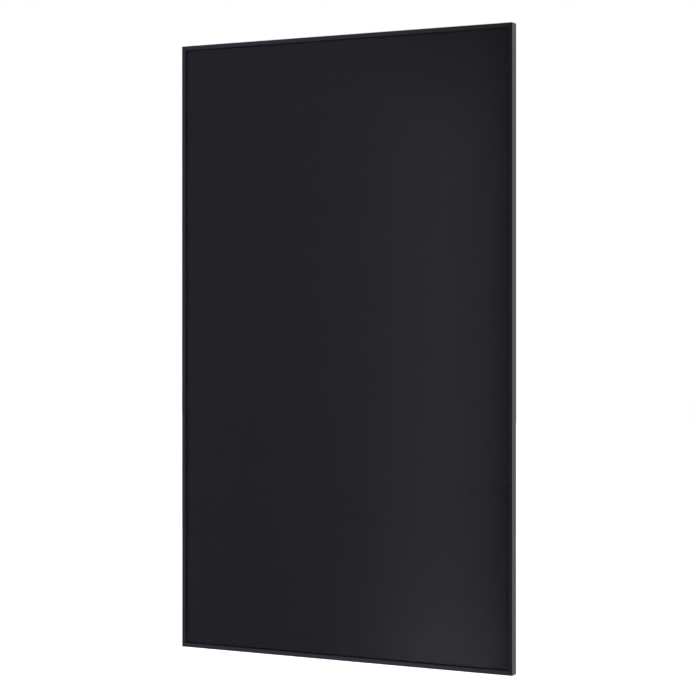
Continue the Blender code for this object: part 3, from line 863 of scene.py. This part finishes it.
def make_rails():
    """The extrusions with softened edges."""
    for side, finish in (
        ("left", "frame_left"),
        ("right", "frame_right"),
        ("top", "frame_short"),
        ("bottom", "frame_short"),
    ):
        detailed(
            f"rail_{side}", f"frame_{side}", finish, "panel", width=FRAME_SOFT
        )


def make_junction_boxes():
    for seed, label in enumerate(BOX_LABELS):
        make_box_base(label)
        make_box_lid(label)
        make_box_inside(label)
        make_adhesive(label, 1.7 * seed)
    for label in ("left", "right"):
        make_gland(label)


# --- Stage -------------------------------------------------------------------------------

CAMERA_PLACE = (2.477, -4.855, 0.083)
CAMERA_TURN = 26.868
CAMERA_LENS = 100.29
CAMERA_SHIFT = (0.0002, -0.04285)
CAMERA_SENSOR = 36.0
FLOOR_DROP, FLOOR_HALF, FLOOR_GLOW = 0.020, 12.0, 0.62
# Each light's name, place, target, size and power
LIGHTS = (
    ("behind_left", (-2.2, 2.4, 1.9), (0.0, 0.0, 0.1), (1.6, 1.2), 60.0),
    ("behind_low", (-0.5, 3.4, -0.3), (0.0, 0.0, 0.0), (0.5, 1.8), 14.0),
)

# The studio in front of the panel and to its left, as the glass mirrors it to the camera. Places
# are in metres on the glass, and each pair is where a change starts and ends
GLOW_STARTS, GLOW_ENDS = (0.02, 0.30), (0.55, 0.45)
GLOW_LEVELS = (((0.86, 0.55), 0.53), ((0.30, -0.70), 0.22), ((-0.55, -0.90), 0.66))
LEFT_RISES, LEFT_LEVEL = (-0.30, 0.05), 1.12
RIGHT_FADES, RIGHT_LEVEL = (0.465, 0.535), 0.06
SHADE_STARTS, SHADE_ENDS = (0.05, 0.28), (0.48, 0.34)
SHADE_RISES, SHADE_LEVEL = (0.62, 0.84), 0.26
TINT_CHANGES, TINT_LEFT, TINT_RIGHT = (-0.50, 0.35), (0.94, 0.98, 1.20, 1), (1.0, 1.01, 1.06, 1)
# The rest of the studio. Each pair is along X or Y of the direction looked in
IN_FRONT, TO_THE_LEFT = (-0.35, -0.75), (-0.05, -0.20)
BEHIND, BEHIND_TURNS = (0.2, 0.8), (0.20, -0.10)
BEHIND_RIGHT, BEHIND_LEFT = (0.93, 0.93, 0.95, 1), (1.35, 1.35, 1.37, 1)
WHITE = (1, 1, 1, 1)
LEAST_AHEAD = 0.02


def make_floor():
    mesh = bpy.data.meshes.new("floor")
    half = FLOOR_HALF
    z = CAD_LOW.z - FLOOR_DROP
    corners = [(-half, -half, z), (half, -half, z), (half, half, z), (-half, half, z)]
    mesh.from_pydata(corners, [], [(0, 1, 2, 3)])
    floor = bpy.data.objects.new("floor", mesh)
    bpy.context.scene.collection.objects.link(floor)
    f = Finish("pale_floor", (0.80, 0.80, 0.80), 0.9)
    f.set("Emission Color", WHITE)
    f.set("Emission Strength", FLOOR_GLOW)
    mesh.materials.append(f.material)
    floor.visible_glossy = False


def area_light(name, place, target, size, energy):
    data = bpy.data.lights.new(name, "AREA")
    data.shape = "RECTANGLE"
    data.size, data.size_y = size
    data.energy = energy
    lamp = bpy.data.objects.new(name, data)
    lamp.location = place
    lamp.visible_camera = False
    lamp.rotation_euler = (Vector(target) - Vector(place)).to_track_quat("-Z", "Y").to_euler()
    bpy.context.scene.collection.objects.link(lamp)


class WorldNodes:
    """Short calls for the studio's node tree."""

    def __init__(self, tree):
        self.tree = tree

    def add(self, kind, settings=None, sockets=()):
        made = self.tree.nodes.new(kind)
        for key, value in (settings or {}).items():
            setattr(made, key, value)
        for index, value in sockets:
            if isinstance(value, bpy.types.NodeSocket):
                self.tree.links.new(value, made.inputs[index])
            else:
                made.inputs[index].default_value = value
        return made

    def math(self, operation, a, b=0.0):
        return self.add("ShaderNodeMath", {"operation": operation}, [(0, a), (1, b)]).outputs[0]

    def step(self, value, start, end, low=0.0, high=1.0):
        """Goes smoothly from low to high as value goes from start to end."""
        settings = {"interpolation_type": "SMOOTHSTEP"}
        sockets = [(0, value), (1, start), (2, end), (3, low), (4, high)]
        return self.add("ShaderNodeMapRange", settings, sockets).outputs[0]

    def blend(self, factor, a, b):
        sockets = [(MIX_FACTOR, factor), (MIX_A, a), (MIX_B, b)]
        return self.add("ShaderNodeMix", {"data_type": "RGBA"}, sockets).outputs[MIX_RESULT]


def make_world():
    """A white studio. In front of the panel and to its left it has one tall soft light: the glass
    mirrors it to the camera as a faint glow, wide and brighter low down, dark past its right end.
    The glow is placed by where the mirrored light meets the glass, in metres."""
    world = bpy.data.worlds.new("studio")
    world.use_nodes = True
    bpy.context.scene.world = world
    tree = world.node_tree
    w = WorldNodes(tree)
    looked = w.add("ShaderNodeTexCoord").outputs["Generated"]
    split = w.add("ShaderNodeSeparateXYZ", sockets=[(0, looked)])
    ahead = w.math("MAXIMUM", w.math("MULTIPLY", split.outputs["Y"], -1.0), LEAST_AHEAD)
    reach = GLASS_LOW.y - CAMERA_PLACE[1]
    across, up = (
        w.math("ADD", w.math("MULTIPLY", w.math("DIVIDE", split.outputs[axis], ahead), reach), start)
        for axis, start in (("X", CAMERA_PLACE[0]), ("Z", CAMERA_PLACE[2]))
    )
    rise = w.step(across, *GLOW_STARTS)
    end = w.step(across, *GLOW_ENDS)
    levels = [w.step(up, *span, 0.0, level) for span, level in GLOW_LEVELS]
    strength = levels[0]
    for level in levels[1:]:
        strength = w.math("ADD", strength, level)
    glow = w.math("MULTIPLY", w.math("MULTIPLY", rise, end), strength)
    level = w.math("ADD", w.step(across, *LEFT_RISES, 1.0, LEFT_LEVEL), glow)
    past = w.step(across, *RIGHT_FADES, 1.0, RIGHT_LEVEL)
    shade = w.math("MULTIPLY", w.step(across, *SHADE_STARTS), w.step(up, *SHADE_RISES, 0.0, SHADE_LEVEL))
    shade = w.math("MULTIPLY", shade, w.step(across, *SHADE_ENDS))
    past = w.math("MULTIPLY", past, w.math("SUBTRACT", 1.0, shade))
    level = w.math("MULTIPLY", level, past)
    tint = w.blend(w.step(across, *TINT_CHANGES), TINT_LEFT, TINT_RIGHT)
    lit = w.add("ShaderNodeVectorMath", {"operation": "SCALE"}, [(0, tint), (3, level)])
    behind = w.blend(w.step(split.outputs["X"], *BEHIND_TURNS), BEHIND_RIGHT, BEHIND_LEFT)
    rest = w.blend(w.step(split.outputs["Y"], *BEHIND), WHITE, behind)
    front = w.step(split.outputs["Y"], *IN_FRONT)
    near = w.step(split.outputs["X"], *TO_THE_LEFT)
    colour = w.blend(w.math("MULTIPLY", front, near), rest, lit.outputs[0])
    light = tree.nodes["Background"]
    tree.links.new(colour, light.inputs["Color"])
    seen = w.add("ShaderNodeBackground", sockets=[(0, WHITE)])
    camera_ray = w.add("ShaderNodeLightPath").outputs["Is Camera Ray"]
    both = w.add(
        "ShaderNodeMixShader", sockets=[(0, camera_ray), (1, light.outputs[0]), (2, seen.outputs[0])]
    )
    tree.links.new(both.outputs[0], tree.nodes["World Output"].inputs["Surface"])


def make_camera():
    data = bpy.data.cameras.new("camera")
    data.lens = CAMERA_LENS
    data.sensor_width = CAMERA_SENSOR
    data.shift_x, data.shift_y = CAMERA_SHIFT
    camera = bpy.data.objects.new("camera", data)
    camera.location = CAMERA_PLACE
    camera.rotation_euler = (math.radians(90), 0, math.radians(CAMERA_TURN))
    bpy.context.scene.collection.objects.link(camera)
    bpy.context.scene.camera = camera


finish_cad_nodes()
make_sealant_bead()
make_cell_wires()
make_cover_strips()
make_junction_boxes()
make_backsheet()
make_rails()
make_camera()
make_world()
make_floor()
for light in LIGHTS:
    area_light(*light)
bpy.context.scene.view_settings.view_transform = "Standard"
